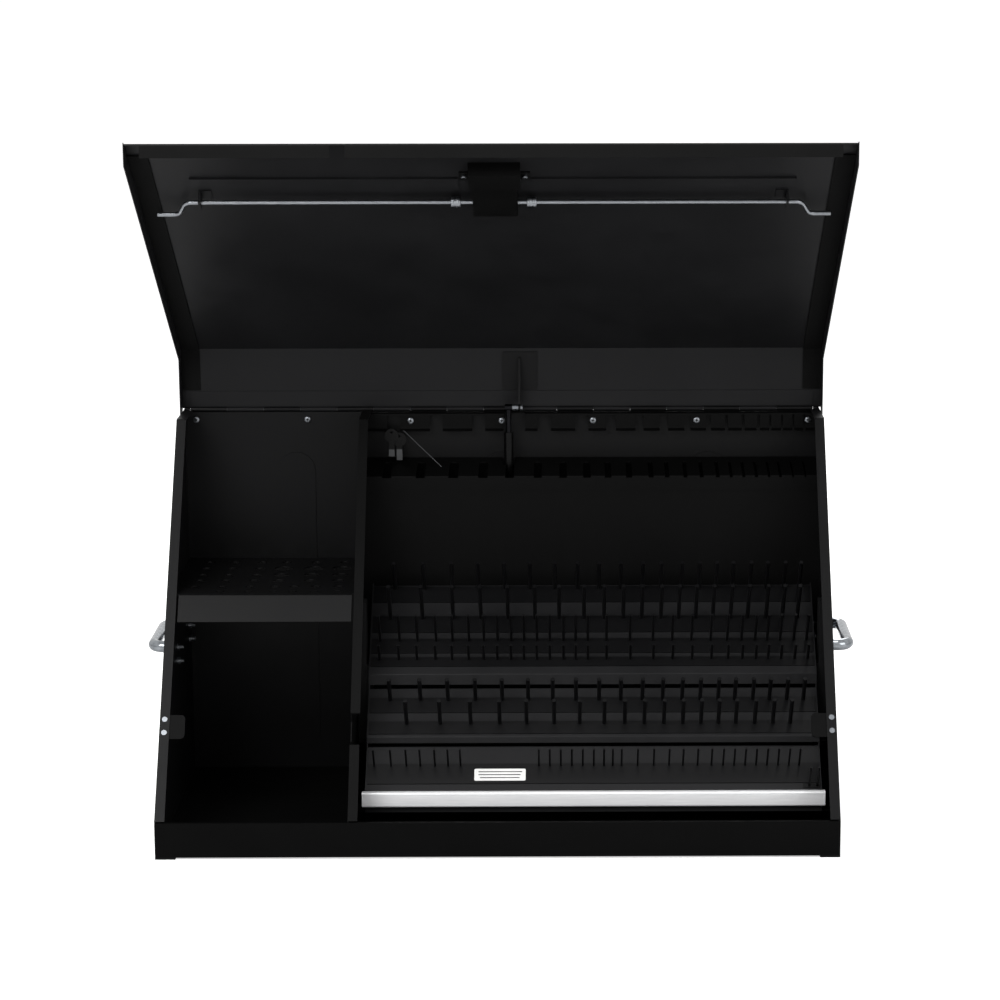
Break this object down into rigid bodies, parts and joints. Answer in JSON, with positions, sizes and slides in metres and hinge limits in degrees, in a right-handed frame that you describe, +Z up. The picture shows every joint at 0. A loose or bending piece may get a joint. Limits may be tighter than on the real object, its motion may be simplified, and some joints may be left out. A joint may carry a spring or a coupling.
{
  "type": "socket organizer drawer box",
  "caption": "Black sloped-front steel tool chest with its lid held open, a perforated shelf, wrench racks and a lifting socket organizer with pegs and an aluminium pull bar.",
  "frame": {"origin": "on the floor, below the middle of the whole object with its lid open", "axes": "+X to the right along the chest, +Y to the back, +Z up"},
  "size_m": [0.9968, 0.4999, 0.9571],
  "materials": {
    "black_powder_coat": "semi-gloss powder coat",
    "chrome_plate": "polished",
    "zinc_plate": "zinc plated",
    "anodised_aluminium": "satin anodised",
    "foam_rubber": "matt foam",
    "white_label": "printed film"
  },
  "bodies": {
    "case": {"left_side_panel": "black_powder_coat", "right_side_panel": "black_powder_coat", "floor_pan": "black_powder_coat", "skids": "black_powder_coat", "back_panel": "black_powder_coat", "divider": "black_powder_coat", "screwdriver_shelf": "black_powder_coat", "upper_wrench_rack": "black_powder_coat", "lower_wrench_rack": "black_powder_coat", "rear_panel": "black_powder_coat", "left_striker": "black_powder_coat", "right_striker": "black_powder_coat", "flange_screws": "zinc_plate", "left_guide_channel": "black_powder_coat", "right_guide_channel": "black_powder_coat", "left_tray_rest": "black_powder_coat", "right_tray_rest": "black_powder_coat", "fixed_hinge_leaf": "black_powder_coat", "hinge_pin": "zinc_plate", "hinge_screws": "zinc_plate", "strut_lower_bracket": "black_powder_coat", "left_handle_plates": "chrome_plate", "right_handle_plates": "chrome_plate", "left_side_handle": "chrome_plate", "right_side_handle": "chrome_plate", "handle_bolts": "zinc_plate", "key_tie": "zinc_plate", "keys": "zinc_plate"},
    "socket_organizer": {"upper_socket_tray": "black_powder_coat", "middle_socket_tray": "black_powder_coat", "lower_socket_tray": "black_powder_coat", "left_organizer_side": "black_powder_coat", "right_organizer_side": "black_powder_coat", "left_guide_runner": "black_powder_coat", "right_guide_runner": "black_powder_coat", "peg_row_1": "black_powder_coat", "peg_row_2": "black_powder_coat", "peg_row_3": "black_powder_coat", "peg_row_4": "black_powder_coat", "peg_row_5": "black_powder_coat", "peg_row_6": "black_powder_coat", "peg_row_7": "black_powder_coat", "peg_row_8": "black_powder_coat", "blank_label": "white_label", "pull_bar": "anodised_aluminium"},
    "lid": {"lid_shell": "black_powder_coat", "latch_housing": "black_powder_coat", "latch_screws": "zinc_plate", "rod_guides": "black_powder_coat", "stiffener": "black_powder_coat", "edge_seals": "foam_rubber", "moving_hinge_leaf": "black_powder_coat", "strut_bracket": "black_powder_coat", "ball_stud": "zinc_plate"},
    "latch_paddle": {"paddle_handle": "black_powder_coat", "lock_cylinder": "zinc_plate"},
    "left_rod": {"left_lock_rod": "zinc_plate"},
    "right_rod": {"right_lock_rod": "zinc_plate"},
    "strut_tube": {"strut_cylinder": "black_powder_coat"},
    "strut_piston_rod": {"strut_rod": "zinc_plate"}
  },
  "joints": [
    {"name": "lid_hinge", "type": "hinge", "parent": "case", "child": "lid", "pos_m": [0, 0.24371, 0.538], "axis": [-1, 0, 0], "range_deg": [-88.85, 0]},
    {"name": "organizer_lift", "type": "slide", "parent": "case", "child": "socket_organizer", "axis": [0, 0, 1], "range_m": [0, 0.025]},
    {"name": "paddle_hinge", "type": "hinge", "parent": "lid", "child": "latch_paddle", "pos_m": [0.002, -0.1685, 0.89598], "axis": [-1, 0, 0], "range_deg": [0, 30], "stiffness_Nm_per_rad": 0.1, "springref_deg": -17.19},
    {"name": "left_rod_slide", "type": "slide", "parent": "lid", "child": "left_rod", "axis": [1, 0, 0], "range_m": [0, 0.01]},
    {"name": "right_rod_slide", "type": "slide", "parent": "lid", "child": "right_rod", "axis": [-1, 0, 0], "range_m": [0, 0.01]},
    {"name": "strut_foot_hinge", "type": "hinge", "parent": "case", "child": "strut_tube", "pos_m": [0.01, 0.21971, 0.27], "axis": [1, 0, 0], "range_deg": [-4.17, 0]},
    {"name": "strut_slide", "type": "slide", "parent": "strut_tube", "child": "strut_piston_rod", "axis": [0, 0, 1], "range_m": [-0.02893, 0]}
  ],
  "couplings": [
    {"joint": "left_rod_slide", "follows": "paddle_hinge", "m_per_rad": 0.019099},
    {"joint": "right_rod_slide", "follows": "paddle_hinge", "m_per_rad": 0.019099},
    {"joint": "strut_foot_hinge", "follows": "lid_hinge", "ratio": 0.046988},
    {"joint": "strut_slide", "follows": "lid_hinge", "m_per_rad": 0.018657}
  ]
}
